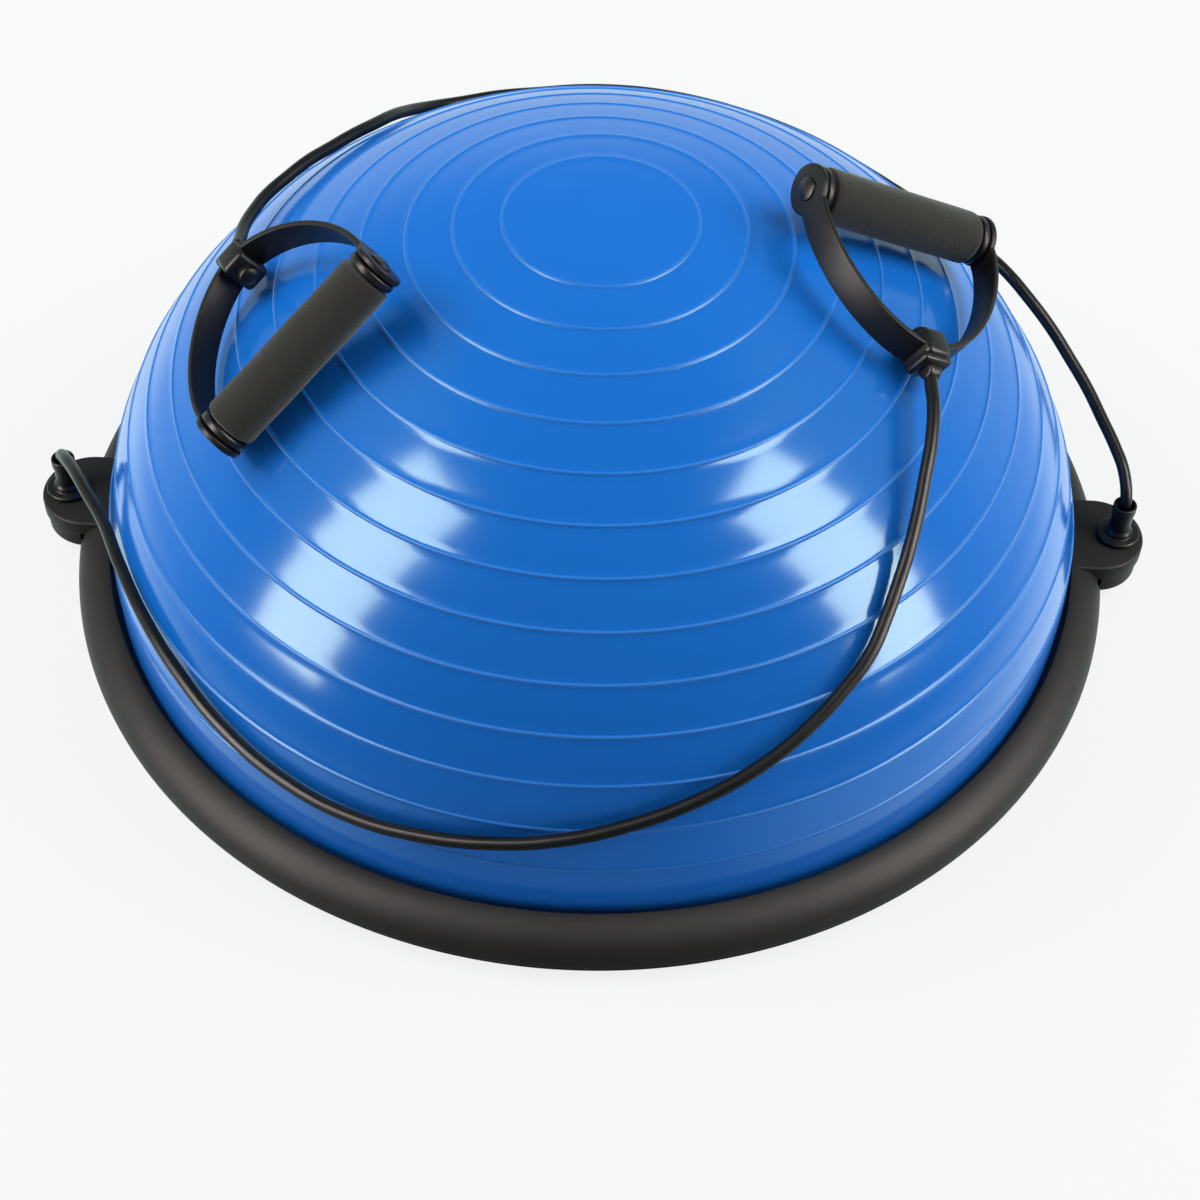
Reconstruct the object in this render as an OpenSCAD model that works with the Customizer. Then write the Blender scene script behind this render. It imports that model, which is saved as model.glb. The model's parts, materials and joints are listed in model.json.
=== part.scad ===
// Balance dome trainer: an air-filled ribbed half ball clamped to a round
// platform, with two elastic pull bands that end in foam hand grips.
// Millimetres, +Z up, floor at z = 0, the two band ears on the X axis.

/* [Platform] */
// Outer radius of the platform
base_r = 300; // [296:1:304]
// Radius of the rounded outer face of the rim
rim_arc_r = 21; // [20:1:22]
// Height of the rim's lower edge above the floor
rim_z = 5; // [4:0.5:6]
// Underside of the flat plate
plate_z = 10; // [9:1:11]
// Top of the flat plate, where the ball's flange is clamped
plate_top_z = 16; // [15:1:17]
// Number of rubber floor pads
pad_count = 8; // [6:1:10]
// Number of clamp screws
screw_count = 12; // [8:2:14]

/* [Ball] */
// Radius of the ball where it is widest
dome_r = 277; // [272:1:278]
// Rise of the ball above its widest level
dome_rise = 213.5; // [190:0.5:240]
// Fullness of the ball's outline, 2 being an ellipse
dome_power = 1.88; // [1.8:0.02:2.2]
// Height of the widest level above the floor
dome_seat_z = 42; // [38:1:46]
// Thickness of the skin
skin_t = 3; // [2:0.5:4]
// Number of raised rings
rib_count = 13; // [8:1:13]
// Distance along the skin from the crown to the first ring
rib_first = 51.5; // [40:0.5:56]
// Distance along the skin from ring to ring
rib_pitch = 26; // [22:0.5:26]
// Height of a ring over the skin
rib_h = 0.7; // [0.5:0.1:1]

/* [Ears and band posts] */
// Half width of an ear
ear_half_w = 27.5; // [24:0.5:30]
// Distance of an ear's tip from the centre
ear_reach = 323; // [320:1:326]
// Top face of an ear
ear_top_z = 29; // [28:0.5:30]
// Bottom face of an ear
ear_low_z = 8; // [7:0.5:9]
// Distance of the post from the centre
post_x = 308; // [307:1:309]
// Top of the post's sleeve
post_top_z = 55; // [50:1:58]

/* [Bands] */
// Diameter of the elastic tube
band_d = 7; // [5:0.5:7]

/* [Grips] */
// Length of the foam
foam_len = 105; // [100:1:105]
// Radius of the foam
foam_r = 14.5; // [13:0.5:14.5]
// Half the inner width of the strap at the grip
strap_half = 58.3; // [58:0.1:59]
// Distance from the grip's axis to the crown of the strap
strap_rise = 92; // [88:1:96]
// Width of the strap
strap_w = 18; // [14:1:20]
// Thickness of the strap
strap_t = 3.2; // [2.5:0.1:3.4]
// Fullness of the strap's arch, 2 being an ellipse
strap_power = 1.72; // [1.6:0.02:2]

/* [Hidden] */
$fn = 64;
eps = 0.01;

// Running clearances, as radial gaps
pin_gap = 0.05;
body_gap = 0.3;

// Rim and plate
rim_arc_z = rim_z + 3;
rim_arc_c = base_r - rim_arc_r;
rim_end_a = 88;
skirt_r = base_r - 5.7;
lip_r = dome_r + 0.6;
flange_r = 285;
flange_t = 3;
lip_t = 5;
screw_r = 289.5;
screw_top_z = 22.5;
pad_ring_r = 255;
pad_r = 14;
pad_top_z = 7;

// Air valve
valve_flange_r = 13;
valve_neck_r = 8;
valve_bore_r = 4;

// Posts
post_foot_r = 12.4;
post_shank_r = 5.2;
post_tip_r = 3.4;
post_mouth_r = 5.2;
post_floor_z = 49.6;
clip_r = 9.5;
clip_seat_z = ear_low_z + 5;

// Grips: where each lies on the ball, left one first
grip_pos = [[-149, -83, 227], [156, 35, 232.5]];
grip_rot = [[-12, -37, 34], [-14, -30, -160]];
// How far the crown of each strap leans along its grip
lean = [0, 8];
core_r = 10;
core_bore_r = 6.5;
pin_r = 3;
knuckle_r = 5;
knuckle_half = 4.2;
knuckle_y = strap_rise + 10;

// Routes of the two bands, from the post to the grip's knuckle, in round numbers
front_route = [
    [-308, 0, 50.5], [-308, -1, 57], [-303, -12, 68], [-294, -28, 76], [-283, -48, 81],
    [-268, -74, 84], [-253, -107, 87], [-233, -145, 87], [-211, -177, 83], [-182, -209, 76],
    [-148, -236, 71], [-113, -255, 70], [-77, -267, 73], [-39, -274, 79], [-5, -275, 86],
    [28, -270, 94], [60, -261, 104], [90, -247, 115], [115, -229, 127], [134, -210, 139],
    [144, -197, 147], [151, -182, 156], [157, -166, 166], [162, -151, 176], [166, -135, 185],
    [169, -119, 194], [172, -102, 203], [173, -84, 210], [172, -70, 213.5]];
rear_route = [
    [308, 0, 50.5], [308, 1, 57], [306, 13, 68], [301, 26, 75], [293, 42, 83], [285, 57, 91],
    [274, 72, 101], [262, 86, 112], [248, 99, 123], [236, 111, 130], [225, 124, 132],
    [214, 139, 131], [204, 154, 128], [191, 170, 126], [174, 188, 125], [156, 202, 127],
    [130, 215, 134], [104, 224, 140], [79, 231, 144], [54, 235, 148], [29, 237, 151],
    [5, 238, 152], [-20, 237, 152], [-44, 234, 151], [-68, 228, 152], [-92, 216, 155],
    [-108, 203, 161], [-119, 187, 170], [-127, 169, 180], [-136, 151, 187], [-146, 136, 191],
    [-158, 120, 193], [-168, 106, 195], [-178, 91, 195], [-187, 76, 195], [-192, 60, 197],
    [-195, 43, 200], [-195, 27, 204], [-195, 13.5, 208.5]];

// ---- helpers ----

function unit(v) = v / norm(v);

// Places its children in the frame of grip i: X along the grip, Y to the cord
module on_grip(i) {
    translate(grip_pos[i]) rotate(grip_rot[i]) children();
}

module ring_of(count, radius, start = 0) {
    for (k = [0 : count - 1])
        rotate([0, 0, start + 360 * k / count]) translate([radius, 0, 0]) children();
}

module disc(r, z0, z1) {
    translate([0, 0, z0]) cylinder(r = r, h = z1 - z0);
}

// Cylinder along X from x0 to x1
module disc_x(r, x0, x1) {
    translate([x0, 0, 0]) rotate([0, 90, 0]) cylinder(r = r, h = x1 - x0);
}

// Cylinder along Y from y0 to y1
module disc_y(r, y0, y1) {
    translate([0, y0, 0]) rotate([-90, 0, 0]) cylinder(r = r, h = y1 - y0);
}

// Rounded bar along Y, w wide and h high
module bar_y(w, h, r, y0, y1) {
    translate([0, y0, 0]) rotate([-90, 0, 0]) linear_extrude(height = y1 - y0) {
        square([w - 2 * r, h], center = true);
        square([w, h - 2 * r], center = true);
        for (x = [-1, 1], y = [-1, 1])
            translate([x * (w / 2 - r), y * (h / 2 - r)]) circle(r = r, $fn = 24);
    }
}

// ---- outline of the ball ----

outline_steps = 120;
function ball_point(t, a, b) =
    [a * pow(cos(t), 2 / dome_power), dome_seat_z + b * pow(sin(t), 2 / dome_power)];
ball_points = [for (i = [0 : outline_steps])
    ball_point(90 - 90 * i / outline_steps, dome_r, dome_rise)];
ball_arcs = [for (i = 0, s = 0; i <= outline_steps;
    s = s + (i < outline_steps ? norm(ball_points[i + 1] - ball_points[i]) : 0), i = i + 1) s];
ball_len = ball_arcs[outline_steps];
ball_x = [for (i = [0 : outline_steps]) [ball_arcs[i], ball_points[i].x]];
ball_z = [for (i = [0 : outline_steps]) [ball_arcs[i], ball_points[i].y]];
function skin(s) = [lookup(s, ball_x), lookup(s, ball_z)];
function skin_normal(s) =
    let (d = skin(min(s + 1, ball_len)) - skin(max(s - 1, 0))) unit([-d.y, d.x]);

// One raised ring, a low bump, and the plain skin between it and the next one
rib_half = 1.5;
rib_flat = 0.6;
function rib_points(k) = let (s0 = rib_first + k * rib_pitch)
    [for (e = [[-rib_half, 0], [-rib_flat, 1], [rib_flat, 1], [rib_half, 0]])
        skin(s0 + e[0]) + e[1] * rib_h * skin_normal(s0 + e[0])];
function between_points(k) =
    [for (f = [0.25, 0.5, 0.75]) skin(rib_first + (k + f) * rib_pitch)];
crown_points = [for (f = [0 : 0.15 : 0.9]) skin(f * rib_first)];
ribs_end = rib_first + (rib_count - 1) * rib_pitch + rib_half;
foot_steps = 7;
foot_points = [for (i = [1 : foot_steps]) skin(ribs_end + (ball_len - ribs_end) * i / foot_steps)];
inner_steps = 40;
inner_points = [for (i = [0 : inner_steps])
    ball_point(90 * i / inner_steps, dome_r - skin_t, dome_rise - skin_t)];

module dome_membrane() {
    color("dodgerblue") rotate_extrude($fn = 128) polygon(concat(
        crown_points,
        [for (k = [0 : rib_count - 2]) each concat(rib_points(k), between_points(k))],
        rib_points(rib_count - 1),
        foot_points,
        [[dome_r, plate_top_z + flange_t], [flange_r, plate_top_z + flange_t],
            [flange_r, plate_top_z], [dome_r - skin_t, plate_top_z]],
        inner_points));
}

// ---- platform ----

module base_platform() {
    boss_r = 20;
    rib_low_z = plate_z - 4;
    color("dimgray") difference() {
        union() {
            disc(skirt_r - body_gap, plate_z, plate_top_z);
            difference() {
                disc(281, rim_z, plate_z + eps);
                disc(276, rim_z - 1, plate_z + 1);
            }
            for (r = [94, 184]) difference() {
                disc(r, rib_low_z, plate_z + eps);
                disc(r - 4, rib_low_z - 1, plate_z + 1);
            }
            for (k = [0 : 11]) rotate([0, 0, 30 * k])
                translate([boss_r - 2, -2, rib_low_z]) cube([260, 4, 4 + eps]);
            ring_of(pad_count, pad_ring_r, 22.5) disc(pad_r + 4, rim_z, plate_z + eps);
            disc(boss_r, rib_low_z, plate_z + eps);
        }
        ring_of(pad_count, pad_ring_r, 22.5) disc(pad_r + 0.1, 0, pad_top_z);
        ring_of(screw_count, screw_r, 15) disc(2.2, 0, plate_top_z + 1);
        disc(valve_flange_r + 0.5, 0, plate_z + 2);
        disc(valve_neck_r + 0.1, 0, plate_top_z + 1);
    }
}

module clamp_ring() {
    rim_arc = [for (i = [0 : 15]) let (a = rim_end_a * i / 15)
        [rim_arc_c + rim_arc_r * cos(a), rim_arc_z + rim_arc_r * sin(a)]];
    rim_in_r = rim_arc_c + rim_arc_r * cos(rim_end_a);
    lip_low_z = plate_top_z + flange_t;
    color("#2b2b2d") difference() {
        union() {
            rotate_extrude($fn = 128) polygon(concat(
                [[skirt_r, plate_top_z], [skirt_r, rim_z], [base_r - 1, rim_z], [base_r, rim_z + 1]],
                rim_arc,
                [[rim_in_r, lip_low_z + lip_t], [lip_r, lip_low_z + lip_t], [lip_r, lip_low_z],
                    [flange_r, lip_low_z], [flange_r, plate_top_z]]));
            for (side = [0, 180]) rotate([0, 0, side]) difference() {
                translate([0, 0, ear_low_z]) linear_extrude(height = ear_top_z - ear_low_z) {
                    translate([ear_reach - ear_half_w, 0]) circle(r = ear_half_w);
                    translate([270, -ear_half_w])
                        square([ear_reach - ear_half_w - 270, 2 * ear_half_w]);
                }
                disc(skirt_r, 0, plate_top_z);
                disc(flange_r + body_gap, plate_top_z - 1, lip_low_z);
                disc(rim_in_r + 0.5, lip_low_z - 1, ear_top_z + 1);
            }
        }
        ring_of(screw_count, screw_r, 15) disc(2.1, plate_top_z - 1, screw_top_z + 0.5);
        for (side = [-1, 1]) translate([side * post_x, 0, 0]) {
            disc(post_shank_r + pin_gap, 0, ear_top_z + 1);
            disc(clip_r + 0.8, 0, clip_seat_z);
        }
        for (side = [-1, 1])
            translate([side * 296, -ear_half_w, 19]) rotate([-90, 0, 0]) disc(2.2, -3, 4);
    }
}

module base_screws() {
    color("silver") ring_of(screw_count, screw_r, 15) difference() {
        union() {
            disc(4, plate_z - 2.6, plate_z);
            disc(2, plate_z - eps, screw_top_z);
        }
        for (a = [0, 90]) rotate([0, 0, a])
            translate([-2.5, -0.5, plate_z - 3]) cube([5, 1, 1.6]);
    }
}

module floor_pads() {
    color("#1c1c1c") ring_of(pad_count, pad_ring_r, 22.5) disc(pad_r, 0, pad_top_z);
}

// ---- air valve under the platform ----

module valve_body() {
    color("gainsboro") difference() {
        union() {
            disc(valve_flange_r, plate_z - 0.5, plate_z + 2);
            disc(valve_neck_r, plate_z, 24);
        }
        disc(valve_bore_r, 0, 25);
    }
}

module valve_plug() {
    color("white") union() {
        disc(7, pad_top_z, plate_z - 0.8);
        disc(valve_bore_r - pin_gap, plate_z - 1, plate_z + 5.5);
    }
}

// ---- bands ----

function mid_point(p0, p1, p2, p3) = (9 * (p1 + p2) - p0 - p3) / 16;
function refine(p) = let (n = len(p)) concat(
    [for (i = [0 : n - 2]) each [p[i],
        mid_point(p[max(i - 1, 0)], p[i], p[i + 1], p[min(i + 2, n - 1)])]],
    [p[n - 1]]);
function carry(v, t) = unit(v - (v * t) * t);

// Tube of diameter d through the points of route p
module tube_along(p, d) {
    n = len(p);
    sides = 10;
    ahead = [for (i = [0 : n - 1]) unit(p[min(i + 1, n - 1)] - p[max(i - 1, 0)])];
    across = [for (i = 0, v = carry([1, 0, 0], ahead[0]); i < n;
        v = carry(v, ahead[min(i + 1, n - 1)]), i = i + 1) v];
    rim = [for (i = [0 : n - 1], k = [0 : sides - 1])
        let (a = 360 * k / sides, w = cross(ahead[i], across[i]))
        p[i] + d / 2 * (cos(a) * across[i] + sin(a) * w)];
    walls = [for (i = [0 : n - 2], k = [0 : sides - 1])
        let (a = i * sides + k, b = i * sides + (k + 1) % sides)
        each [[a, a + sides, b], [b, a + sides, b + sides]]];
    foot = [for (k = [0 : sides - 1]) k];
    head = [for (k = [sides - 1 : -1 : 0]) (n - 1) * sides + k];
    polyhedron(points = rim, faces = concat(walls, [foot, head]), convexity = 6);
}

module front_band_tube() {
    color("#141414") tube_along(refine(front_route), band_d);
}

module rear_band_tube() {
    color("#141414") tube_along(refine(rear_route), band_d);
}

// Post that turns in an ear and holds the end of a band in its sleeve
module anchor_post(side) {
    foot_z = ear_top_z + body_gap;
    color("#1a1a1a") translate([side * post_x, 0, 0]) difference() {
        union() {
            disc(post_foot_r, foot_z, foot_z + 3);
            disc(8, foot_z + 3 - eps, foot_z + 5);
            disc(6.2, foot_z + 5 - eps, post_top_z - 6);
            disc(6.8, post_top_z - 6 - eps, post_top_z);
            disc(post_shank_r, clip_seat_z - 0.4, foot_z + eps);
            disc(post_tip_r, ear_low_z + 0.6, clip_seat_z);
        }
        disc(post_mouth_r, post_floor_z, post_top_z + 1);
    }
}

// Clip that keeps the post in the ear, sunk in its underside
module anchor_clip(side) {
    color("#3a3a3a") translate([side * post_x, 0, 0]) difference() {
        disc(clip_r, ear_low_z + 1.4, clip_seat_z - 0.4);
        disc(post_tip_r + pin_gap, 0, clip_seat_z + 1);
    }
}

// ---- hand grips, each in its own frame ----

module grip_core(i) {
    color("#202020") on_grip(i) difference() {
        disc_x(core_r, -53, 53);
        disc_x(core_bore_r, -54, 54);
    }
}

module foam_grip(i) {
    round_r = 2.5;
    half = foam_len / 2;
    end_y = half - round_r;
    function corner(a, y) = [foam_r - round_r + round_r * cos(a), y + round_r * sin(a)];
    color("#2e2a28") on_grip(i) rotate([0, 90, 0]) rotate_extrude() polygon(concat(
        [[core_r + pin_gap, -half]],
        [for (a = [-90 : 15 : 0]) corner(a, -end_y)],
        [for (a = [0 : 15 : 90]) corner(a, end_y)],
        [[core_r + pin_gap, half]]));
}

module grip_caps(i) {
    color("#1a1a1a") on_grip(i) for (turn = [0, 180]) rotate([0, 0, turn]) difference() {
        union() {
            disc_x(13.5, 53, strap_half - 0.5);
            disc_x(core_bore_r - 0.1, 41, 53 + eps);
        }
        disc_x(pin_r + pin_gap, 40, strap_half);
    }
}

// Outline of the strap, at angle t of its arch over the grip and off from its middle
strap_mid = strap_half + strap_t / 2;
strap_leg = 15;
function strap_at(t, off, side) =
    let (a = strap_mid, b = strap_rise - strap_leg, p = 2 / strap_power,
        x = sign(cos(t)) * pow(abs(cos(t)), p), y = pow(abs(sin(t)), p),
        nx = sign(cos(t)) * pow(abs(cos(t)), 2 - p) / a, ny = pow(abs(sin(t)), 2 - p) / b)
    [a * x + side * y, strap_leg + b * y] + off * unit([nx, ny - side / b * nx]);

module strap_arch(t, w, side) {
    over = [for (a = [0 : 5 : 180]) strap_at(a, t / 2, side)];
    under = [for (a = [180 : -5 : 0]) strap_at(a, -t / 2, side)];
    translate([0, 0, -w / 2]) linear_extrude(height = w)
        polygon(concat([[over[0].x, 0]], over, [[over[36].x, 0], [under[0].x, 0]], under,
            [[under[36].x, 0]]));
}

module strap(i) {
    color("#1a1a1a") on_grip(i) difference() {
        union() {
            strap_arch(strap_t, strap_w, lean[i]);
            for (turn = [0, 180]) rotate([0, 0, turn]) disc_x(14, strap_half, strap_half + strap_t);
        }
        for (turn = [0, 180]) rotate([0, 0, turn]) disc_x(pin_r + pin_gap, 50, 65);
        translate([lean[i], 0, 0]) disc_y(pin_r + 0.2, strap_rise - 8, strap_rise + 8);
    }
}

module strap_pins(i) {
    head_x = strap_half + strap_t;
    color("#3a3a3a") on_grip(i) for (turn = [0, 180]) rotate([0, 0, turn]) union() {
        disc_x(pin_r, 44, head_x + eps);
        disc_x(6.5, head_x, head_x + 1.4);
        translate([head_x + 1.4 - eps, 0, 0]) rotate([0, 90, 0])
            cylinder(r1 = 6.5, r2 = 4.5, h = 1.2);
    }
}

// Block that grips the strap's crown and ends in a round knuckle, where the band
// enters and about which the handle lifts.
module cord_block(i) {
    color("#2b2b2d") on_grip(i) difference() {
        translate([lean[i], 0, 0]) difference() {
            union() {
                bar_y(15.5, 22, 3, strap_rise - 10, strap_rise + 6);
                bar_y(18.5, 17, 3, strap_rise + 4, strap_rise + 9);
                translate([0, knuckle_y, 0]) disc_x(knuckle_r, -knuckle_half, knuckle_half);
            }
            disc_y(pin_r + 0.1, strap_rise - 11, strap_rise + 4);
        }
        strap_arch(strap_t + 0.1, strap_w + 0.2, lean[i]);
    }
}

// Plug behind the strap that holds the band's end in the block
module cord_plug(i) {
    color("#444444") on_grip(i) translate([lean[i], 0, 0]) union() {
        disc_y(5.5, strap_rise - 14, strap_rise - 10);
        translate([0, strap_rise - 16, 0]) rotate([-90, 0, 0]) cylinder(r1 = 4, r2 = 5.5, h = 2);
        disc_y(pin_r, strap_rise - 10 - eps, strap_rise + 3.8);
    }
}

dome_membrane();
base_platform();
clamp_ring();
base_screws();
floor_pads();
valve_body();
valve_plug();
front_band_tube();
rear_band_tube();
anchor_post(-1);  // left_anchor_post
anchor_clip(-1);  // left_anchor_clip
anchor_post(1);  // right_anchor_post
anchor_clip(1);  // right_anchor_clip
grip_core(0);  // left_grip_core
foam_grip(0);  // left_foam_grip
grip_caps(0);  // left_grip_caps
strap(0);  // left_strap
strap_pins(0);  // left_strap_pins
cord_block(0);  // left_cord_block
cord_plug(0);  // left_cord_plug
grip_core(1);  // right_grip_core
foam_grip(1);  // right_foam_grip
grip_caps(1);  // right_grip_caps
strap(1);  // right_strap
strap_pins(1);  // right_strap_pins
cord_block(1);  // right_cord_block
cord_plug(1);  // right_cord_plug
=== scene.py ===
import json
import math

import bmesh
import bpy
from mathutils import Matrix, Vector
from mathutils.kdtree import KDTree


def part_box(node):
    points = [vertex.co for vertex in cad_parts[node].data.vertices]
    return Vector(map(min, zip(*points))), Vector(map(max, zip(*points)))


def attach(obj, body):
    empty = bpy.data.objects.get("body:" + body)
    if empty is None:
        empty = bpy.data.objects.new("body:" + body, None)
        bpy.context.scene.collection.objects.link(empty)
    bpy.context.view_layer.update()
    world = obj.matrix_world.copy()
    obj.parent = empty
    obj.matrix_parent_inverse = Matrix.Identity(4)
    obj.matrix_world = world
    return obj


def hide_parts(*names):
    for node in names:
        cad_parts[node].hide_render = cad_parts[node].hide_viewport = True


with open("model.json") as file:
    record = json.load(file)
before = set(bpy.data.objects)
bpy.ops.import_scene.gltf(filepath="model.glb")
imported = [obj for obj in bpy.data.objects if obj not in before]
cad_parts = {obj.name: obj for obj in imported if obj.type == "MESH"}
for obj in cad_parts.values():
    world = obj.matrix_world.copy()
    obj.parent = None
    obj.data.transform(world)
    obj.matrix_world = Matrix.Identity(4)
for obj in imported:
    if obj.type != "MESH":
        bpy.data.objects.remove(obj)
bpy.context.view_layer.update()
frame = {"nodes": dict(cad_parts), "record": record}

# ---------------------------------------------------------------- camera

CAMERA_AT = Vector((0.0184, -0.965, 1.0713))
CAMERA_AIM = Vector((0.008, -0.1293, 0.1))
CAMERA_ROLL = math.radians(2.0)
CAMERA_LENS = 72.56
CAMERA_SENSOR = 36.0


def make_camera():
    data = bpy.data.cameras.new("camera")
    data.lens = CAMERA_LENS
    data.sensor_width = CAMERA_SENSOR
    camera = bpy.data.objects.new("camera", data)
    bpy.context.scene.collection.objects.link(camera)
    turn = (CAMERA_AIM - CAMERA_AT).to_track_quat("-Z", "Y").to_matrix().to_4x4()
    camera.matrix_world = Matrix.Translation(CAMERA_AT) @ turn @ Matrix.Rotation(CAMERA_ROLL, 4, "Z")
    bpy.context.scene.camera = camera


make_camera()

# ---------------------------------------------------------------- materials


def add(nodes, kind, **values):
    """A new node. Names of its sockets set their values, and other names set its own settings."""
    node = nodes.new(kind)
    for key, value in values.items():
        if key in node.inputs:
            node.inputs[key].default_value = value
        else:
            setattr(node, key.lower(), value)
    return node


def surface(name, colour, roughness, *, shade=0.12, shade_size=0.03, rough_spread=0.05,
            grain_size=0.001, grain_depth=0.00005, metallic=0.0, sheen=0.0, specular=0.5,
            tint=(1.0, 1.0, 1.0)):
    """A material whose colour, gloss and relief all vary: blotches of shade_size and grain of grain_size."""
    material = bpy.data.materials.new(name)
    material.use_nodes = True
    nodes, links = material.node_tree.nodes, material.node_tree.links
    shader = nodes["Principled BSDF"]
    shader.inputs["Metallic"].default_value = metallic
    shader.inputs["Specular IOR Level"].default_value = specular
    shader.inputs["Specular Tint"].default_value = (*tint, 1)
    shader.inputs["Sheen Weight"].default_value = sheen
    shader.inputs["Sheen Roughness"].default_value = 0.5
    place = add(nodes, "ShaderNodeTexCoord")
    blotch = add(nodes, "ShaderNodeTexNoise", Scale=1 / shade_size, Detail=4.0)
    tone = add(nodes, "ShaderNodeMix", data_type="RGBA")
    tone.inputs["A"].default_value = [c * (1 - shade) for c in colour] + [1]
    tone.inputs["B"].default_value = [min(1, c * (1 + shade)) for c in colour] + [1]
    gloss = nodes.new("ShaderNodeMapRange")
    gloss.inputs["To Min"].default_value = max(0.02, roughness - rough_spread)
    gloss.inputs["To Max"].default_value = roughness + rough_spread
    grain = add(nodes, "ShaderNodeTexNoise", Scale=1 / grain_size, Detail=3.0)
    bump = nodes.new("ShaderNodeBump")
    bump.inputs["Strength"].default_value = 1.0
    bump.inputs["Distance"].default_value = grain_depth
    links.new(place.outputs["Object"], blotch.inputs["Vector"])
    links.new(place.outputs["Object"], grain.inputs["Vector"])
    links.new(blotch.outputs["Fac"], tone.inputs["Factor"])
    links.new(blotch.outputs["Fac"], gloss.inputs["Value"])
    links.new(tone.outputs["Result"], shader.inputs["Base Color"])
    links.new(gloss.outputs["Result"], shader.inputs["Roughness"])
    links.new(grain.outputs["Fac"], bump.inputs["Height"])
    links.new(bump.outputs["Normal"], shader.inputs["Normal"])
    return material


BALL_PVC = surface("ball_pvc", (0.009, 0.137, 0.58), 0.14, shade=0.05, shade_size=0.12, rough_spread=0.02,
                   grain_size=0.004, grain_depth=0.00001, tint=(0.7, 1.0, 0.8))
RIM_PLASTIC = surface("rim_plastic", (0.0052, 0.005, 0.0051), 0.58, shade_size=0.05, grain_size=0.0007,
                      grain_depth=0.00004, specular=0.4)
PLATE_PLASTIC = surface("platform_plastic", (0.02, 0.02, 0.021), 0.55, grain_size=0.0009,
                        grain_depth=0.00005)
ZINC = surface("zinc_steel", (0.62, 0.61, 0.58), 0.32, metallic=1.0, shade_size=0.004, grain_size=0.0006,
               grain_depth=0.00001)
PAD_RUBBER = surface("pad_rubber", (0.02, 0.02, 0.02), 0.75, grain_size=0.0006, grain_depth=0.00006)
VALVE_PLASTIC = surface("valve_plastic", (0.74, 0.73, 0.7), 0.35, shade=0.05, grain_size=0.001,
                        grain_depth=0.00002)
BAND_LATEX = surface("band_latex", (0.005, 0.005, 0.006), 0.36, shade_size=0.01, grain_size=0.0008,
                     grain_depth=0.00003, specular=0.35)
FITTING = surface("fitting_plastic", (0.006, 0.006, 0.0065), 0.38, grain_size=0.0008, grain_depth=0.00003,
                  specular=0.4)
STRAP = surface("strap_plastic", (0.004, 0.004, 0.0045), 0.45, shade_size=0.015, grain_size=0.0009,
                grain_depth=0.00003, specular=0.35)
FOAM = surface("grip_foam", (0.019, 0.0147, 0.0128), 0.9, shade=0.25, shade_size=0.006, grain_size=0.0013,
               grain_depth=0.0005, sheen=0.25, specular=0.2)

# ---------------------------------------------------------------- mesh helpers


SHARP = math.radians(38)


def mark_sharp(bm):
    for edge in bm.edges:
        edge.smooth = len(edge.link_faces) != 2 or edge.calc_face_angle() < SHARP


def finish_mesh(name, bm, material):
    """Makes an object of a bmesh, smooth apart from its sharp edges."""
    bmesh.ops.remove_doubles(bm, verts=bm.verts, dist=1e-7)
    bmesh.ops.recalc_face_normals(bm, faces=bm.faces)
    for face in bm.faces:
        face.smooth = True
    mark_sharp(bm)
    mesh = bpy.data.meshes.new(name)
    bm.to_mesh(mesh)
    bm.free()
    mesh.materials.append(material)
    obj = bpy.data.objects.new(name, mesh)
    bpy.context.scene.collection.objects.link(obj)
    return obj


def arc(centre, radius, start, end, steps):
    """Points of an arc, with the angles in degrees."""
    angles = [math.radians(start + (end - start) * k / steps) for k in range(steps + 1)]
    return [(centre[0] + radius * math.cos(a), centre[1] + radius * math.sin(a)) for a in angles]


def rounded(points, steps=4):
    """An outline of (x, y, fillet) corners, with each fillet as a small curve."""
    out = []
    for i, (x, y, fillet) in enumerate(points):
        if not fillet:
            out.append((x, y))
            continue
        here = Vector((x, y))
        back = Vector(points[i - 1][:2]) - here
        ahead = Vector(points[(i + 1) % len(points)][:2]) - here
        first = here + back.normalized() * min(fillet, back.length * 0.49)
        last = here + ahead.normalized() * min(fillet, ahead.length * 0.49)
        for k in range(steps + 1):
            t = k / steps
            out.append(tuple((1 - t) ** 2 * first + 2 * t * (1 - t) * here + t ** 2 * last))
    return out


def lathe(profile, segments=64, along=Matrix.Identity(4)):
    """A closed solid that turns (radius, height) points round Z. Points on the axis are its poles."""
    bm = bmesh.new()
    rings = []
    for radius, height in profile:
        count = 1 if radius < 1e-9 else segments
        turn = [2 * math.pi * k / segments for k in range(count)]
        rings.append([bm.verts.new((radius * math.cos(a), radius * math.sin(a), height)) for a in turn])
    poles = len(rings[0]) == 1 and len(rings[-1]) == 1
    for low, high in zip(rings, rings[1:] + ([] if poles else rings[:1])):
        for k in range(segments):
            after = (k + 1) % segments
            corners = [low[k % len(low)], low[after % len(low)],
                       high[after % len(high)], high[k % len(high)]]
            corners = list(dict.fromkeys(corners))
            if len(corners) > 2:
                bm.faces.new(corners)
    bm.transform(along)
    return bm


def stack(outlines):
    """A closed solid through outlines with the same number of points, one after another."""
    bm = bmesh.new()
    rings = [[bm.verts.new(p) for p in outline] for outline in outlines]
    for low, high in zip(rings, rings[1:]):
        for k in range(len(low)):
            after = (k + 1) % len(low)
            bm.faces.new((low[k], low[after], high[after], high[k]))
    bm.faces.new(rings[0])
    bm.faces.new(rings[-1])
    return bm


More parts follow.
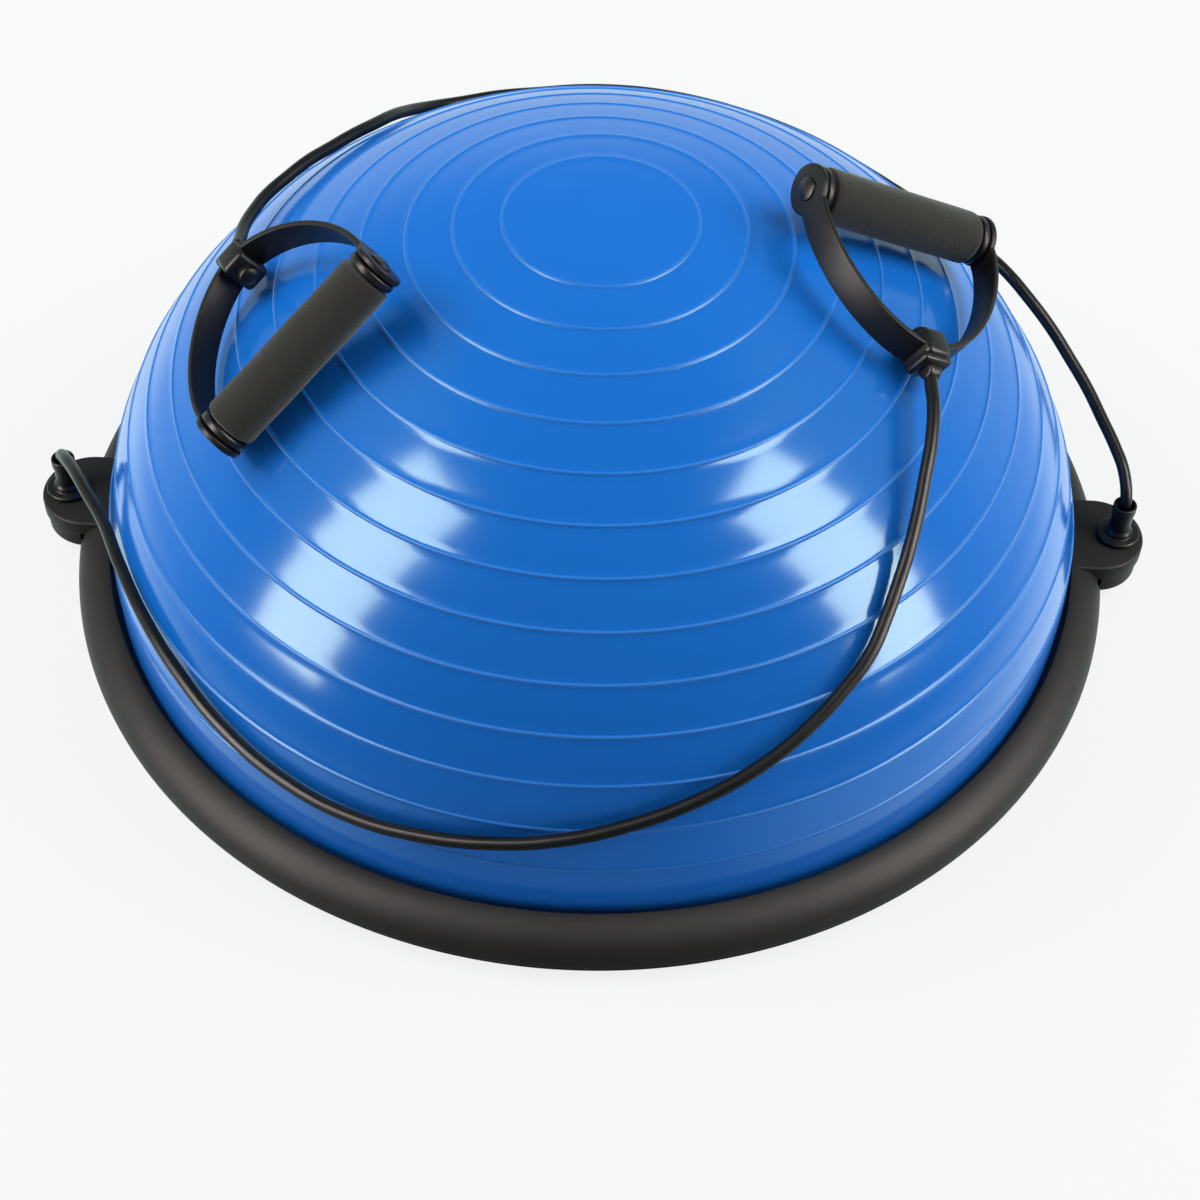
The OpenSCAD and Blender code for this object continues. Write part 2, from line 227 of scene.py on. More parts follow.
def rounded_box(size, centre, fillet, steps=4):
    """A box with round edges."""
    bm = bmesh.new()
    bmesh.ops.create_cube(bm, size=1)
    bm.transform(Matrix.Translation(centre) @ Matrix.Diagonal((*size, 1)))
    bmesh.ops.bevel(bm, geom=bm.edges[:], offset=fillet, segments=steps, profile=0.5, affect="EDGES")
    return bm


def combine(target, bm, operation):
    """Joins a closed solid to target, or cuts it away."""
    tool = finish_mesh("tool", bm, target.data.materials[0])
    step = target.modifiers.new("combine", "BOOLEAN")
    step.object = tool
    step.operation = operation
    step.solver = "EXACT"
    evaluated = target.evaluated_get(bpy.context.evaluated_depsgraph_get())
    result = bmesh.new()
    result.from_mesh(bpy.data.meshes.new_from_object(evaluated))
    target.modifiers.clear()
    bmesh.ops.dissolve_degenerate(result, edges=result.edges, dist=1e-6)
    mark_sharp(result)
    result.to_mesh(target.data)
    result.free()
    bpy.data.objects.remove(tool)


def place(obj, body, slot, node, at=Matrix.Identity(4)):
    """Puts a piece in its place on a body, instead of a CAD node."""
    obj.matrix_world = at
    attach(obj, body)
    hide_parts(node)


# ---------------------------------------------------------------- bands

BAND_D = 0.007
FRONT_ROUTE = [
    (-0.308, 0, 0.0505), (-0.308, -0.001, 0.057), (-0.303, -0.012, 0.068), (-0.294, -0.028, 0.076),
    (-0.283, -0.048, 0.081), (-0.268, -0.074, 0.084), (-0.253, -0.107, 0.087), (-0.233, -0.145, 0.087),
    (-0.211, -0.177, 0.083), (-0.182, -0.209, 0.076), (-0.148, -0.236, 0.071), (-0.113, -0.255, 0.070),
    (-0.077, -0.267, 0.073), (-0.039, -0.274, 0.079), (-0.005, -0.275, 0.086), (0.028, -0.270, 0.094),
    (0.060, -0.261, 0.104), (0.090, -0.247, 0.115), (0.115, -0.229, 0.127), (0.134, -0.210, 0.139),
    (0.144, -0.197, 0.147), (0.151, -0.182, 0.156), (0.157, -0.166, 0.166), (0.162, -0.151, 0.176),
    (0.166, -0.135, 0.185), (0.169, -0.119, 0.194), (0.172, -0.102, 0.203), (0.173, -0.084, 0.210),
    (0.172, -0.070, 0.2135)]
REAR_ROUTE = [
    (0.308, 0, 0.0505), (0.308, 0.001, 0.057), (0.306, 0.013, 0.068), (0.301, 0.026, 0.075),
    (0.293, 0.042, 0.083), (0.285, 0.057, 0.091), (0.274, 0.072, 0.101), (0.262, 0.086, 0.112),
    (0.248, 0.099, 0.123), (0.236, 0.111, 0.130), (0.225, 0.124, 0.132), (0.214, 0.139, 0.131),
    (0.204, 0.154, 0.128), (0.191, 0.170, 0.126), (0.174, 0.188, 0.125), (0.156, 0.202, 0.127),
    (0.130, 0.215, 0.134), (0.104, 0.224, 0.140), (0.079, 0.231, 0.144), (0.054, 0.235, 0.148),
    (0.029, 0.237, 0.151), (0.005, 0.238, 0.152), (-0.020, 0.237, 0.152), (-0.044, 0.234, 0.151),
    (-0.068, 0.228, 0.152), (-0.092, 0.216, 0.155), (-0.108, 0.203, 0.161), (-0.119, 0.187, 0.170),
    (-0.127, 0.169, 0.180), (-0.136, 0.151, 0.187), (-0.146, 0.136, 0.191), (-0.158, 0.120, 0.193),
    (-0.168, 0.106, 0.195), (-0.178, 0.091, 0.195), (-0.187, 0.076, 0.195), (-0.192, 0.060, 0.197),
    (-0.195, 0.043, 0.200), (-0.195, 0.027, 0.204), (-0.195, 0.0135, 0.2085)]
JOINTS = {joint["name"]: joint for joint in frame["record"]["behaviour"]["joints"]}


def make_band(name, route, side):
    """An elastic tube from its post to inside the knuckle of the handle on that side."""
    knuckle = Vector(JOINTS[side + "_handle_lift"]["pos_m"])
    points = [Vector(p) for p in route]
    points.append(knuckle.lerp(points[-1], 0.4))
    data = bpy.data.curves.new(name, "CURVE")
    data.dimensions = "3D"
    data.bevel_depth = BAND_D / 2
    data.bevel_resolution = 6
    data.resolution_u = 8
    data.use_fill_caps = True
    spline = data.splines.new("BEZIER")
    spline.bezier_points.add(len(points) - 1)
    for knot, point in zip(spline.bezier_points, points):
        knot.co = point
        knot.handle_left_type = knot.handle_right_type = "AUTO"
    data.materials.append(BAND_LATEX)
    band = bpy.data.objects.new(name, data)
    bpy.context.scene.collection.objects.link(band)
    place(band, "root", "band_latex", name + "_tube")


make_band("front_band", FRONT_ROUTE, "right")
make_band("rear_band", REAR_ROUTE, "left")

# ---------------------------------------------------------------- ball

BALL_R = 0.277
BALL_SEAT_Z = 0.042
BALL_POWER = 1.88
BALL_TOP_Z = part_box("dome_membrane")[1].z
SKIN_T = 0.003
FLANGE_R = 0.285
PLATE_TOP_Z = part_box("base_platform")[1].z
FLANGE_TOP_Z = PLATE_TOP_Z + SKIN_T
RIB_COUNT = 13
RIB_FIRST = 0.0515
RIB_PITCH = 0.026
RIB_H = 0.0007
RIB_HALF = 0.0015
# Paler colour on the rings: painted sheen, standing in for the light lines that their slopes reflect.
RING_SHEEN_COLOUR = (0.012, 0.15, 0.6, 1)
RING_DULLNESS = 0.25
MARK_REACH = 0.00001


def ball_outline(radius, rise, steps):
    """(radius, height) from the crown down to the widest level."""
    out = []
    for k in range(steps + 1):
        t = math.pi / 2 * (1 - k / steps)
        out.append(Vector((radius * max(0, math.cos(t)) ** (2 / BALL_POWER),
                           BALL_SEAT_Z + rise * math.sin(t) ** (2 / BALL_POWER))))
    out[0].x = 0
    return out


def ribbed_outline():
    """The ball's outer outline with its rings, sampled closely on the rings and widely between them, and
    how near each point is to the middle of a ring."""
    plain = ball_outline(BALL_R, BALL_TOP_Z - BALL_SEAT_Z, 1500)
    along = [0.0]
    for a, b in zip(plain, plain[1:]):
        along.append(along[-1] + (b - a).length)
    stops = [k * RIB_FIRST / 14 for k in range(13)]
    for rib in range(RIB_COUNT):
        middle = RIB_FIRST + rib * RIB_PITCH
        stops += [middle + RIB_HALF * k / 6 for k in range(-6, 7)]
        if rib < RIB_COUNT - 1:
            stops += [middle + RIB_HALF + (RIB_PITCH - 2 * RIB_HALF) * k / 6 for k in range(1, 6)]
    last = stops[-1]
    stops += [last + (along[-1] - last) * k / 8 for k in range(1, 9)]
    out, nearness, i = [], [], 0
    for stop in stops:
        while i < len(along) - 2 and along[i + 1] < stop:
            i += 1
        step = plain[i + 1] - plain[i]
        point = plain[i] + step * min(1, (stop - along[i]) / step.length)
        nearest = round((stop - RIB_FIRST) / RIB_PITCH)
        away = abs(stop - RIB_FIRST - max(0, min(RIB_COUNT - 1, nearest)) * RIB_PITCH)
        if away < RIB_HALF:
            normal = Vector((-step.y, step.x)).normalized()
            point += normal * RIB_H * math.cos(math.pi / 2 * away / RIB_HALF) ** 2
        out.append((max(0.0, point.x), point.y))
        nearness.append(min(1.0, max(0.0, 2 - 2 * away / RIB_HALF)))
    return out, nearness


def mark_rings(ball, outline, nearness):
    """Stores on each point of the skin how near it is to a ring's middle, for the material to read."""
    tree = KDTree(len(outline))
    for i, (radius, height) in enumerate(outline):
        tree.insert((radius, height, 0), i)
    tree.balance()
    values = []
    for vert in ball.data.vertices:
        _, i, away = tree.find((vert.co.xy.length, vert.co.z, 0))
        values.append(nearness[i] if away < MARK_REACH else 0.0)
    ball.data.attributes.new("ring", "FLOAT", "POINT").data.foreach_set("value", values)


def dull_rings_with_painted_sheen(material):
    """The moulded rings are rubbed duller than the skin between them, and painted a little paler: painted
    sheen for the light lines that their slopes reflect.
    """
    nodes, links = material.node_tree.nodes, material.node_tree.links
    shader = nodes["Principled BSDF"]
    ring = add(nodes, "ShaderNodeAttribute", attribute_name="ring")
    # Mixes the painted sheen colour in where the rings are.
    tone = add(nodes, "ShaderNodeMix", data_type="RGBA")
    tone.inputs["B"].default_value = RING_SHEEN_COLOUR
    dull = add(nodes, "ShaderNodeMath", operation="MULTIPLY_ADD")
    dull.inputs[1].default_value = RING_DULLNESS
    links.new(ring.outputs["Fac"], tone.inputs["Factor"])
    links.new(ring.outputs["Fac"], dull.inputs[0])
    links.new(shader.inputs["Base Color"].links[0].from_socket, tone.inputs["A"])
    links.new(shader.inputs["Roughness"].links[0].from_socket, dull.inputs[2])
    links.new(tone.outputs["Result"], shader.inputs["Base Color"])
    links.new(dull.outputs["Value"], shader.inputs["Roughness"])


def make_ball():
    outer, nearness = ribbed_outline()
    inner = [tuple(p) for p in ball_outline(BALL_R - SKIN_T, BALL_TOP_Z - BALL_SEAT_Z - SKIN_T, 60)]
    edge_r, top, low = FLANGE_R - 0.0003, FLANGE_TOP_Z - 0.0001, PLATE_TOP_Z + 0.0001
    foot = rounded([(BALL_R, FLANGE_TOP_Z, 0.001), (edge_r, top, 0), (edge_r, low, 0),
                    (BALL_R - SKIN_T, low, 0)])
    ball = finish_mesh("ball_skin", lathe(outer + foot + inner[::-1], 384), BALL_PVC)
    mark_rings(ball, outer, nearness)
    dull_rings_with_painted_sheen(BALL_PVC)
    place(ball, "root", "ball_pvc", "dome_membrane")


make_ball()

# ---------------------------------------------------------------- rim with its ears

RIM_R = 0.300
RIM_ARC_R = 0.021
RIM_ARC_C = (RIM_R - RIM_ARC_R, 0.008)
RIM_LOW_Z = 0.005
RIM_END_A = 88
SKIRT_R = RIM_R - 0.0057
LIP_R = BALL_R + 0.0006
LIP_TOP_Z = FLANGE_TOP_Z + 0.005
EAR_HALF_W = 0.0275
EAR_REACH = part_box("clamp_ring")[1].x
EAR_LOW_Z = 0.008
EAR_TOP_Z = 0.029
EAR_STEP_Z = 0.0185
POST_X = JOINTS["right_anchor_swivel"]["pos_m"][0]
POST_HOLE_R = 0.00525
CLIP_SINK_R = 0.0103
CLIP_SINK_Z = 0.013
EAR_ROOT_X = 0.270
EAR_SLOT_X = 0.296
EAR_SLOT_Z = 0.0165
EAR_SLOT_SIZE = (0.0045, 0.006, 0.0055)
BELOW_ALL_Z = -0.01
ABOVE_RIM_Z = 0.04


def ear_outline(side, z, inset):
    """Outline of an ear at one height: a straight back inside the rim and a round tip."""
    radius = EAR_HALF_W - inset
    centre = EAR_REACH - EAR_HALF_W
    tip = arc((centre, 0), radius, -90, 90, 48)
    outline = [(EAR_ROOT_X, -radius)] + tip + [(EAR_ROOT_X, radius)]
    return [(side * x, side * y, z) for x, y in outline]


def make_rim():
    """The rim is turned from its outline. Each ear is stacked from outlines, cut to fit it and joined on."""
    rim_in = RIM_ARC_C[0] + RIM_ARC_R * math.cos(math.radians(RIM_END_A))
    top_z = RIM_ARC_C[1] + RIM_ARC_R * math.sin(math.radians(RIM_END_A))
    arc_end = arc(RIM_ARC_C, RIM_ARC_R, 1, RIM_END_A - 5, 26)
    lip_corners = rounded([(*arc_end[-1], 0), (rim_in, top_z, 0.0008), (rim_in, LIP_TOP_Z, 0.001),
                           (LIP_R, LIP_TOP_Z, 0.0008), (LIP_R, FLANGE_TOP_Z, 0), (FLANGE_R, FLANGE_TOP_Z, 0),
                           (FLANGE_R, PLATE_TOP_Z, 0), (SKIRT_R, PLATE_TOP_Z, 0),
                           (SKIRT_R, RIM_LOW_Z, 0.0006), (RIM_R, RIM_LOW_Z, 0.0015)])
    profile = arc_end[:-1] + lip_corners
    rim = finish_mesh("rim_ring", lathe(profile, 256), RIM_PLASTIC)
    for side in (-1, 1):
        layers = [(EAR_LOW_Z, 0.0022), (EAR_LOW_Z + 0.0006, 0.0014), (EAR_STEP_Z - 0.0004, 0.0012),
                  (EAR_STEP_Z, 0.0018), (EAR_STEP_Z + 0.0006, 0.0018), (EAR_STEP_Z + 0.001, 0.0004),
                  (EAR_STEP_Z + 0.0016, 0), (EAR_TOP_Z - 0.0014, 0), (EAR_TOP_Z - 0.0007, 0.0002),
                  (EAR_TOP_Z - 0.0002, 0.0007), (EAR_TOP_Z, 0.0014)]
        ear = finish_mesh("ear", stack([ear_outline(side, z, inset) for z, inset in layers]), RIM_PLASTIC)
        inside = [(0, BELOW_ALL_Z), (SKIRT_R + 0.001, BELOW_ALL_Z), (SKIRT_R + 0.001, PLATE_TOP_Z),
                  (FLANGE_R + 0.0004, PLATE_TOP_Z), (FLANGE_R + 0.0004, FLANGE_TOP_Z),
                  (rim_in + 0.0005, FLANGE_TOP_Z), (rim_in + 0.0005, EAR_TOP_Z - 0.0008),
                  (rim_in + 0.0013, EAR_TOP_Z + 0.0001), (rim_in + 0.0013, ABOVE_RIM_Z), (0, ABOVE_RIM_Z)]
        combine(ear, lathe(inside, 256), "DIFFERENCE")
        bm = bmesh.new()
        bm.from_mesh(ear.data)
        combine(rim, bm, "UNION")
        bpy.data.objects.remove(ear)
        post = Matrix.Translation((side * POST_X, 0, 0))
        hole = [(0, BELOW_ALL_Z), (CLIP_SINK_R, BELOW_ALL_Z), (CLIP_SINK_R, CLIP_SINK_Z),
                (POST_HOLE_R, CLIP_SINK_Z), (POST_HOLE_R, ABOVE_RIM_Z), (0, ABOVE_RIM_Z)]
        combine(rim, lathe(hole, 48, post), "DIFFERENCE")
        slot_at = Vector((side * EAR_SLOT_X, -EAR_HALF_W, EAR_SLOT_Z))
        combine(rim, rounded_box(EAR_SLOT_SIZE, slot_at, 0.0008, 2), "DIFFERENCE")
    place(rim, "root", "rim_plastic", "clamp_ring")


make_rim()

# ---------------------------------------------------------------- posts


def make_post(side, sign):
    """Turned post: a base disc on the ear, a collar, and a sleeve with a ringed mouth."""
    low = EAR_TOP_Z + 0.0003
    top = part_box(side + "_anchor_post")[1].z
    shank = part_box(side + "_anchor_post")[0].z
    profile = rounded([
        (0, shank, 0), (0.0034, shank, 0.0005), (0.0034, CLIP_SINK_Z, 0), (0.0052, CLIP_SINK_Z, 0),
        (0.0052, low, 0), (0.0124, low, 0.0005), (0.0124, low + 0.003, 0.0012),
        (0.0080, low + 0.0034, 0.0006),
        (0.0078, low + 0.0052, 0.001), (0.0062, low + 0.0072, 0.001), (0.0060, top - 0.0070, 0.0004),
        (0.0068, top - 0.0060, 0.0008), (0.0068, top, 0.0012), (0.0053, top, 0.0007),
        (0.0052, top - 0.0046, 0.0003), (0, top - 0.0047, 0)])
    post = finish_mesh(side + "_post", lathe(profile, 64), FITTING)
    place(post, side + "_anchor", "fitting_plastic", side + "_anchor_post",
          at=Matrix.Translation((sign * POST_X, 0, 0)))


for side, sign in (("left", -1), ("right", 1)):
    make_post(side, sign)

# ---------------------------------------------------------------- grips

FOAM_R = 0.0145
FOAM_HALF = 0.0525
CORE_R = 0.010
STRAP_HALF = 0.0583
STRAP_T = 0.0032
STRAP_W = 0.018
STRAP_RISE = 0.092
STRAP_LEG = 0.015
DISC_R = 0.014
PIN_R = 0.003
STRAP_POWER = 1.72
LEAN = {"left": 0.0, "right": 0.008}
KNUCKLE_R = 0.005
KNUCKLE_HALF = 0.0042
KNUCKLE_Y = STRAP_RISE + 0.010
BLOCK_SIZE = (0.0155, 0.016, 0.022)
BAR_SIZE = (0.0185, 0.0055, 0.017)
PLUG_R = 0.0055
PLUG_TOP_Y = STRAP_RISE - 0.0095
FOAM_EDGE = 0.0035
FOAM_EDGE_DROP = 0.0032
FOAM_SWELL = 0.00012
CAP_IN_X = 0.041
CAP_SPIGOT_R = 0.0064
CAP_SEAT_X = 0.053
CAP_OUT_X = 0.0578
CAP_BORE_R = PIN_R + 0.0001
PIN_IN_X = 0.044
ALONG_X = Matrix.Rotation(math.pi / 2, 4, "Y")
ALONG_Y = Matrix.Rotation(-math.pi / 2, 4, "X")
OTHER_END = Matrix.Rotation(math.pi, 4, "Z")


def grip_frame(side):
    """X along the grip, Y from the grip towards its block, Z away from the ball."""
    spin = JOINTS[side + "_grip_spin"]
    origin = Vector(spin["pos_m"])
    x = Vector(spin["axis"]).normalized()
    to_knuckle = Vector(JOINTS[side + "_handle_lift"]["pos_m"]) - origin
    y = (to_knuckle - x * to_knuckle.dot(x)).normalized()
    z = x.cross(y)
    return Matrix.Translation(origin) @ Matrix((x, y, z)).transposed().to_4x4()


def at_both_ends(profile, segments):
    """The same turned part at each end of a grip, in one mesh."""
    bm = bmesh.new()
    for turn in (Matrix.Identity(4), OTHER_END):
        part = lathe(profile, segments, turn @ ALONG_X)
        mesh = bpy.data.meshes.new("part")
        part.to_mesh(mesh)
        part.free()
        bm.from_mesh(mesh)
        bpy.data.meshes.remove(mesh)
    return bm


def make_foam(side, at):
    """Foam sleeve: soft round ends, a slightly uneven skin and an open bore."""
    steps = 70
    outer = []
    for k in range(steps + 1):
        x = -FOAM_HALF + 2 * FOAM_HALF * k / steps
        edge = max(0.0, 1 - (FOAM_HALF - abs(x)) / FOAM_EDGE)
        outer.append((FOAM_R - FOAM_EDGE_DROP * (1 - math.sqrt(max(0.0, 1 - edge ** 2))), x))
    bore = [(CORE_R + 0.0001, FOAM_HALF - 0.0002), (CORE_R + 0.0001, 0.0002 - FOAM_HALF)]
    bm = lathe(outer + bore, 96, ALONG_X)
    for vert in bm.verts:
        x, y, z = vert.co
        if math.hypot(y, z) > CORE_R + 0.001:
            turn = math.atan2(z, y)
            swell = 0.5 * math.sin(3 * turn + 90 * x) + 0.5 * math.sin(5 * turn - 140 * x)
            vert.co.yz *= 1 - FOAM_SWELL * (1 + swell) / FOAM_R
    foam = finish_mesh(side + "_foam", bm, FOAM)
    place(foam, side + "_grip", "grip_foam", side + "_foam_grip", at=at)


def make_caps(side, at):
    """The two end caps of a grip, each with a stepped rim."""
    profile = rounded([(CAP_BORE_R, CAP_IN_X, 0), (CAP_SPIGOT_R, CAP_IN_X, 0.0005),
                       (CAP_SPIGOT_R, CAP_SEAT_X, 0), (0.0128, CAP_SEAT_X, 0.0004), (0.0135, 0.0542, 0.0006),
                       (0.0135, 0.0569, 0.0009), (0.0118, CAP_OUT_X, 0.0005), (CAP_BORE_R, CAP_OUT_X, 0)])
    caps = finish_mesh(side + "_caps", at_both_ends(profile, 64), FITTING)
    place(caps, side + "_grip", "fitting_plastic", side + "_grip_caps", at=at)


def strap_path(lean):
    """(x, y, half width) along the strap's middle: a disc, a leg, the arch, a leg and a disc."""
    reach = STRAP_HALF + STRAP_T / 2
    rise = STRAP_RISE - STRAP_LEG
    leg = []
    for k in range(19):
        angle = math.radians(-88 + (88 + 49.9) * k / 18)
        leg.append((reach, DISC_R * math.sin(angle), max(STRAP_W / 2, DISC_R * math.cos(angle))
                    if angle > 0 else DISC_R * math.cos(angle)))
    leg.append((reach, 0.0128, STRAP_W / 2))
    arch = []
    for angle in range(0, 181, 3):
        c, s = math.cos(math.radians(angle)), abs(math.sin(math.radians(angle)))
        up = s ** (2 / STRAP_POWER)
        along = math.copysign(abs(c) ** (2 / STRAP_POWER), c)
        arch.append((reach * along + lean * up, STRAP_LEG + rise * up, STRAP_W / 2))
    return leg + arch + [(-x, y, w) for x, y, w in reversed(leg)]


def make_strap(side, at):
    """The strap is one flat section, with round corners, swept along its path."""
    path = strap_path(LEAN[side])
    outlines = []
    for i, (x, y, half) in enumerate(path):
        before, after = path[max(i - 1, 0)], path[min(i + 1, len(path) - 1)]
        ahead = Vector((after[0] - before[0], after[1] - before[1])).normalized()
        across = Vector((ahead.y, -ahead.x))
        fillet = min(0.0009, half * 0.8)
        section = []
        for turn, (cx, cz) in enumerate(((1, 1), (-1, 1), (-1, -1), (1, -1))):
            centre = (cx * (STRAP_T / 2 - fillet), cz * (half - fillet))
            section += arc(centre, fillet, 90 * turn, 90 * turn + 90, 3)
        outlines.append([(x + across.x * u, y + across.y * u, v) for u, v in section])
    strap = finish_mesh(side + "_strap_band", stack(outlines), STRAP)
    place(strap, side + "_handle", "strap_plastic", side + "_strap", at=at)


def make_pins(side, at):
    """Rivets through the strap's ends, with domed heads."""
    face = STRAP_HALF + STRAP_T
    dome = [(radius * 1.3, x) for radius, x in arc((0, face - 0.0055), 0.0081, 54, 90, 8) if radius > 1e-6]
    profile = [(0, PIN_IN_X), (PIN_R, PIN_IN_X), (PIN_R, face), (0.0060, face), (0.0064, face + 0.0004)]
    profile += dome + [(0, face + 0.0026)]
    pins = finish_mesh(side + "_pins", at_both_ends(profile, 48), FITTING)
    place(pins, side + "_handle", "fitting_plastic", side + "_strap_pins", at=at)


def make_block(side, at):
    """Moulded block on the strap's crown, with a cross bar and the knuckle that takes the cord."""
    x = LEAN[side]
    body = rounded_box(BLOCK_SIZE, (x, STRAP_RISE - 0.002, 0), 0.0032)
    block = finish_mesh(side + "_block", body, FITTING)
    combine(block, rounded_box(BAR_SIZE, (x, STRAP_RISE + 0.0063, 0), 0.0022), "UNION")
    knuckle = rounded([(0, -KNUCKLE_HALF, 0), (KNUCKLE_R, -KNUCKLE_HALF, 0.002),
                       (KNUCKLE_R, KNUCKLE_HALF, 0.002), (0, KNUCKLE_HALF, 0)], 6)
    combine(block, lathe(knuckle, 48, Matrix.Translation((x, KNUCKLE_Y, 0)) @ ALONG_X), "UNION")
    place(block, side + "_handle", "fitting_plastic", side + "_cord_block", at=at)


def make_plug(side, at):
    """Knob inside the strap that holds the cord's end."""
    low = STRAP_RISE - 0.016
    dome = [(PLUG_R * math.sin(math.radians(a)), low + 0.0026 * (1 - math.cos(math.radians(a))))
            for a in range(10, 91, 10)]
    profile = [(0, low)] + dome + [(PLUG_R, PLUG_TOP_Y), (PIN_R, PLUG_TOP_Y), (PIN_R, STRAP_RISE + 0.0035),
                                   (0, STRAP_RISE + 0.0035)]
    bm = lathe(profile, 48, Matrix.Translation((LEAN[side], 0, 0)) @ ALONG_Y)
    plug = finish_mesh(side + "_plug", bm, FITTING)
    place(plug, side + "_handle", "fitting_plastic", side + "_cord_plug", at=at)


for side in ("left", "right"):
    where = grip_frame(side)
    make_foam(side, where)
    make_caps(side, where)
    make_strap(side, where)
    make_pins(side, where)
    make_block(side, where)
    make_plug(side, where)

# ---------------------------------------------------------------- CAD pieces that stay

KEPT = {"base_platform": PLATE_PLASTIC, "base_screws": ZINC, "floor_pads": PAD_RUBBER,
        "valve_body": VALVE_PLASTIC, "valve_plug": VALVE_PLASTIC, "left_anchor_clip": FITTING,
        "right_anchor_clip": FITTING, "left_grip_core": FITTING, "right_grip_core": FITTING}
for name, material in KEPT.items():
    node = frame["nodes"][name]
    node.data.materials.clear()
    node.data.materials.append(material)

# ---------------------------------------------------------------- floor and light


FLOOR_R = 6
WALL_HEIGHT = 8
SOFTBOX_DISTANCE = 2.2
AIM_AT = Vector((0, 0, 0.12))
COOL = (0.87, 1.04, 0.95)
WARM = (1.12, 1.0, 0.95)
WORLD_COLOUR = (0.86, 1, 0.98, 1)


def pale(name, colour, glow):
    """A matt material that gives off most of its own light, so that it stays pale."""
    material = bpy.data.materials.new(name)
    material.use_nodes = True
    shader = material.node_tree.nodes["Principled BSDF"]
    shader.inputs["Base Color"].default_value = (*colour, 1)
    shader.inputs["Roughness"].default_value = 0.9
    shader.inputs["Specular IOR Level"].default_value = 0.0
    shader.inputs["Emission Color"].default_value = (1, 1, 1, 1)
    shader.inputs["Emission Strength"].default_value = glow
    return material


def make_floor():
    bm = bmesh.new()
    bmesh.ops.create_circle(bm, cap_ends=True, radius=FLOOR_R, segments=64)
    floor = finish_mesh("floor", bm, pale("floor", (0.09, 0.09, 0.09), 0.835))
    floor.visible_glossy = False


def make_backdrop():
    """Pale wall round the floor. It doesn't light or shade the object, or show in its gloss."""
    bm = bmesh.new()
    bmesh.ops.create_cone(bm, cap_ends=False, radius1=FLOOR_R, radius2=FLOOR_R, depth=WALL_HEIGHT,
                          segments=64, matrix=Matrix.Translation((0, 0, WALL_HEIGHT / 2)))
    wall = finish_mesh("backdrop", bm, pale("backdrop", (0, 0, 0), 0.9))
    for kind in ("diffuse", "glossy", "transmission", "volume_scatter", "shadow"):
        setattr(wall, "visible_" + kind, False)


def make_softbox(name, azimuth, elevation, width, height, brightness, lights_up, colour=(1, 1, 1)):
    """A soft light that looks at the ball. Azimuth 0 is the camera's side and 90 is +X.
    lights_up is diffuse for a light that fills and glossy for one that shows as a reflection."""
    data = bpy.data.lights.new(name, "AREA")
    data.shape = "RECTANGLE"
    data.size = width
    data.size_y = height
    data.energy = brightness * math.pi * width * height
    data.color = colour
    light = bpy.data.objects.new(name, data)
    bpy.context.scene.collection.objects.link(light)
    a, e = math.radians(azimuth), math.radians(elevation)
    away = Vector((math.sin(a) * math.cos(e), -math.cos(a) * math.cos(e), math.sin(e)))
    light.location = AIM_AT + away * SOFTBOX_DISTANCE
    light.rotation_mode = "QUATERNION"
    light.rotation_quaternion = (-away).to_track_quat("-Z", "Y")
    light.visible_camera = False
    light.visible_diffuse = lights_up == "diffuse"
    light.visible_glossy = lights_up == "glossy"


def ramp_node(nodes, links, source, low, high, to_low, to_high):
    """A smooth step from to_low, where source is low, to to_high, where it is high."""
    node = nodes.new("ShaderNodeMapRange")
    node.interpolation_type = "SMOOTHSTEP"
    for key, value in (("From Min", low), ("From Max", high), ("To Min", to_low), ("To Max", to_high)):
        node.inputs[key].default_value = value
    links.new(source, node.inputs["Value"])
    return node.outputs["Result"]


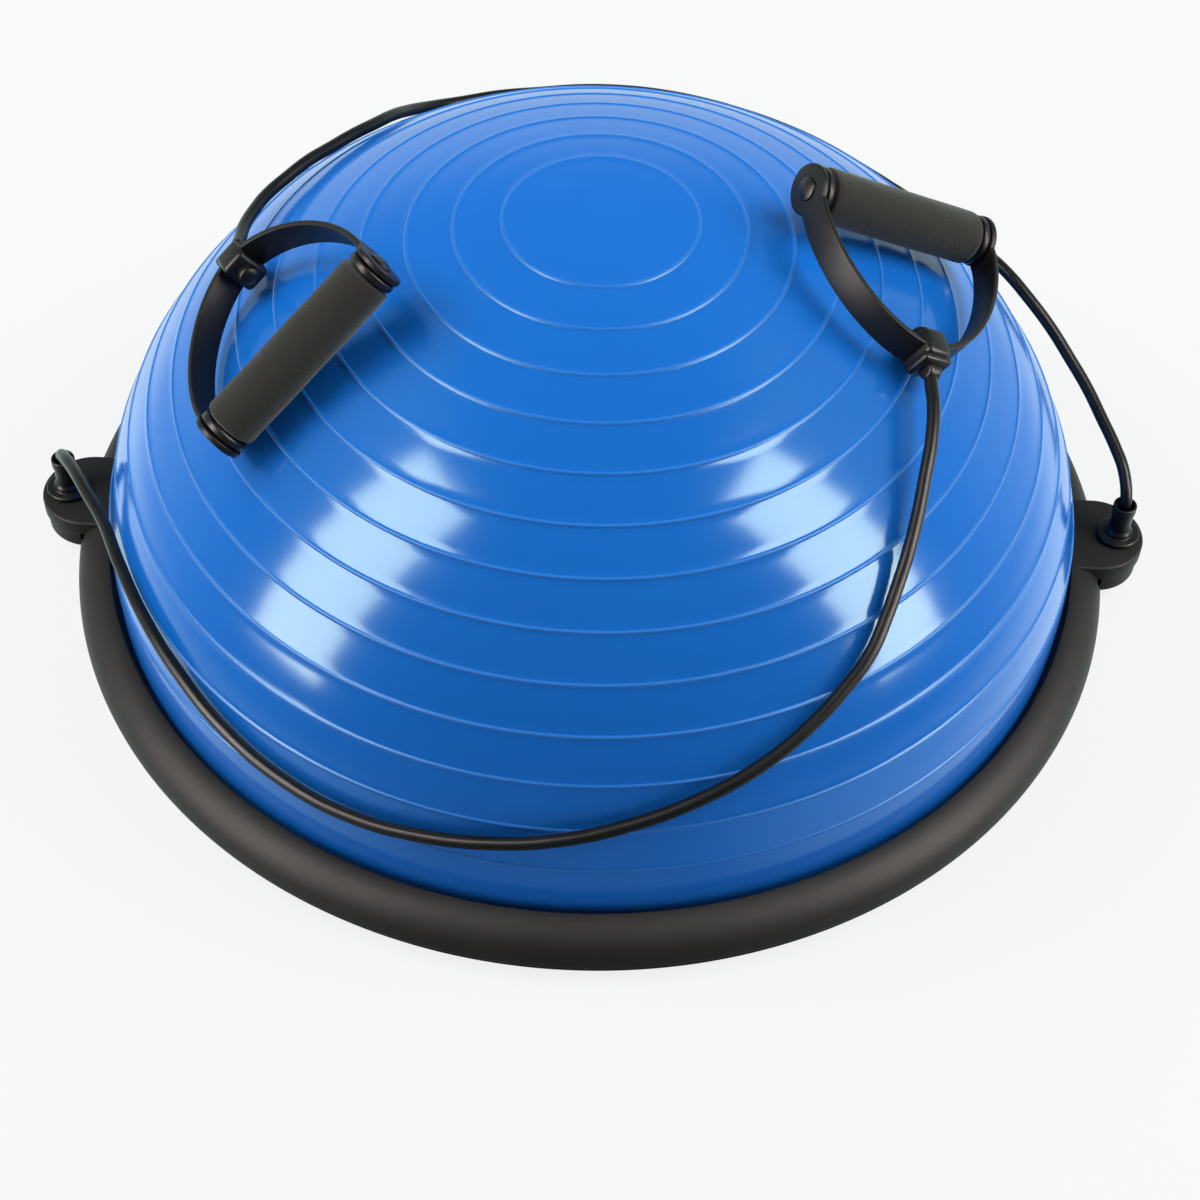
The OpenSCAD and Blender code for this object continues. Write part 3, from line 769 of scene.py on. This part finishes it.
def make_world():
    """Dim on the camera's side, brighter overhead, and white along the horizon behind the ball and low
    down at the sides, as the white floor would be."""
    world = bpy.data.worlds.new("studio")
    bpy.context.scene.world = world
    world.use_nodes = True
    nodes, links = world.node_tree.nodes, world.node_tree.links
    place_node = nodes.new("ShaderNodeTexCoord")
    split = nodes.new("ShaderNodeSeparateXYZ")
    links.new(place_node.outputs["Generated"], split.inputs["Vector"])
    background = nodes["Background"]
    background.inputs["Color"].default_value = WORLD_COLOUR
    behind = ramp_node(nodes, links, split.outputs["Y"], -0.3, 0.6, 0.0, 1.0)
    above = ramp_node(nodes, links, split.outputs["Z"], 0.3, 0.9, 0.07, 0.12)
    horizon = ramp_node(nodes, links, split.outputs["Z"], 0.05, 0.5, 0.8, 0.12)
    low = ramp_node(nodes, links, split.outputs["Z"], -0.2, -0.45, 0.0, 1.0)
    sideways = add(nodes, "ShaderNodeMath", operation="ABSOLUTE")
    links.new(split.outputs["X"], sideways.inputs[0])
    side = ramp_node(nodes, links, sideways.outputs["Value"], 0.3, 0.8, 0.12, 0.8)
    glow = add(nodes, "ShaderNodeMath", operation="MULTIPLY_ADD")
    sky = add(nodes, "ShaderNodeMath", operation="MULTIPLY_ADD")
    links.new(behind, glow.inputs[0])
    links.new(horizon, glow.inputs[1])
    links.new(above, glow.inputs[2])
    links.new(low, sky.inputs[0])
    links.new(side, sky.inputs[1])
    links.new(glow.outputs["Value"], sky.inputs[2])
    links.new(sky.outputs["Value"], background.inputs["Strength"])


make_floor()
make_backdrop()
make_world()
make_softbox("left_reflection", -63, 30, 0.75, 2.3, 14, "glossy", WARM)
make_softbox("right_reflection", 71, 31, 0.72, 2.3, 14, "glossy", WARM)
make_softbox("left_fill", -98, 42, 1.5, 1.5, 6.5, "diffuse", COOL)
make_softbox("right_fill", 98, 42, 1.5, 1.5, 6.5, "diffuse", COOL)
make_softbox("left_low_fill", -68, 9, 1.2, 0.6, 3.2, "diffuse", COOL)
make_softbox("right_low_fill", 68, 9, 1.2, 0.6, 3.2, "diffuse", COOL)
bpy.context.scene.view_settings.view_transform = "Standard"
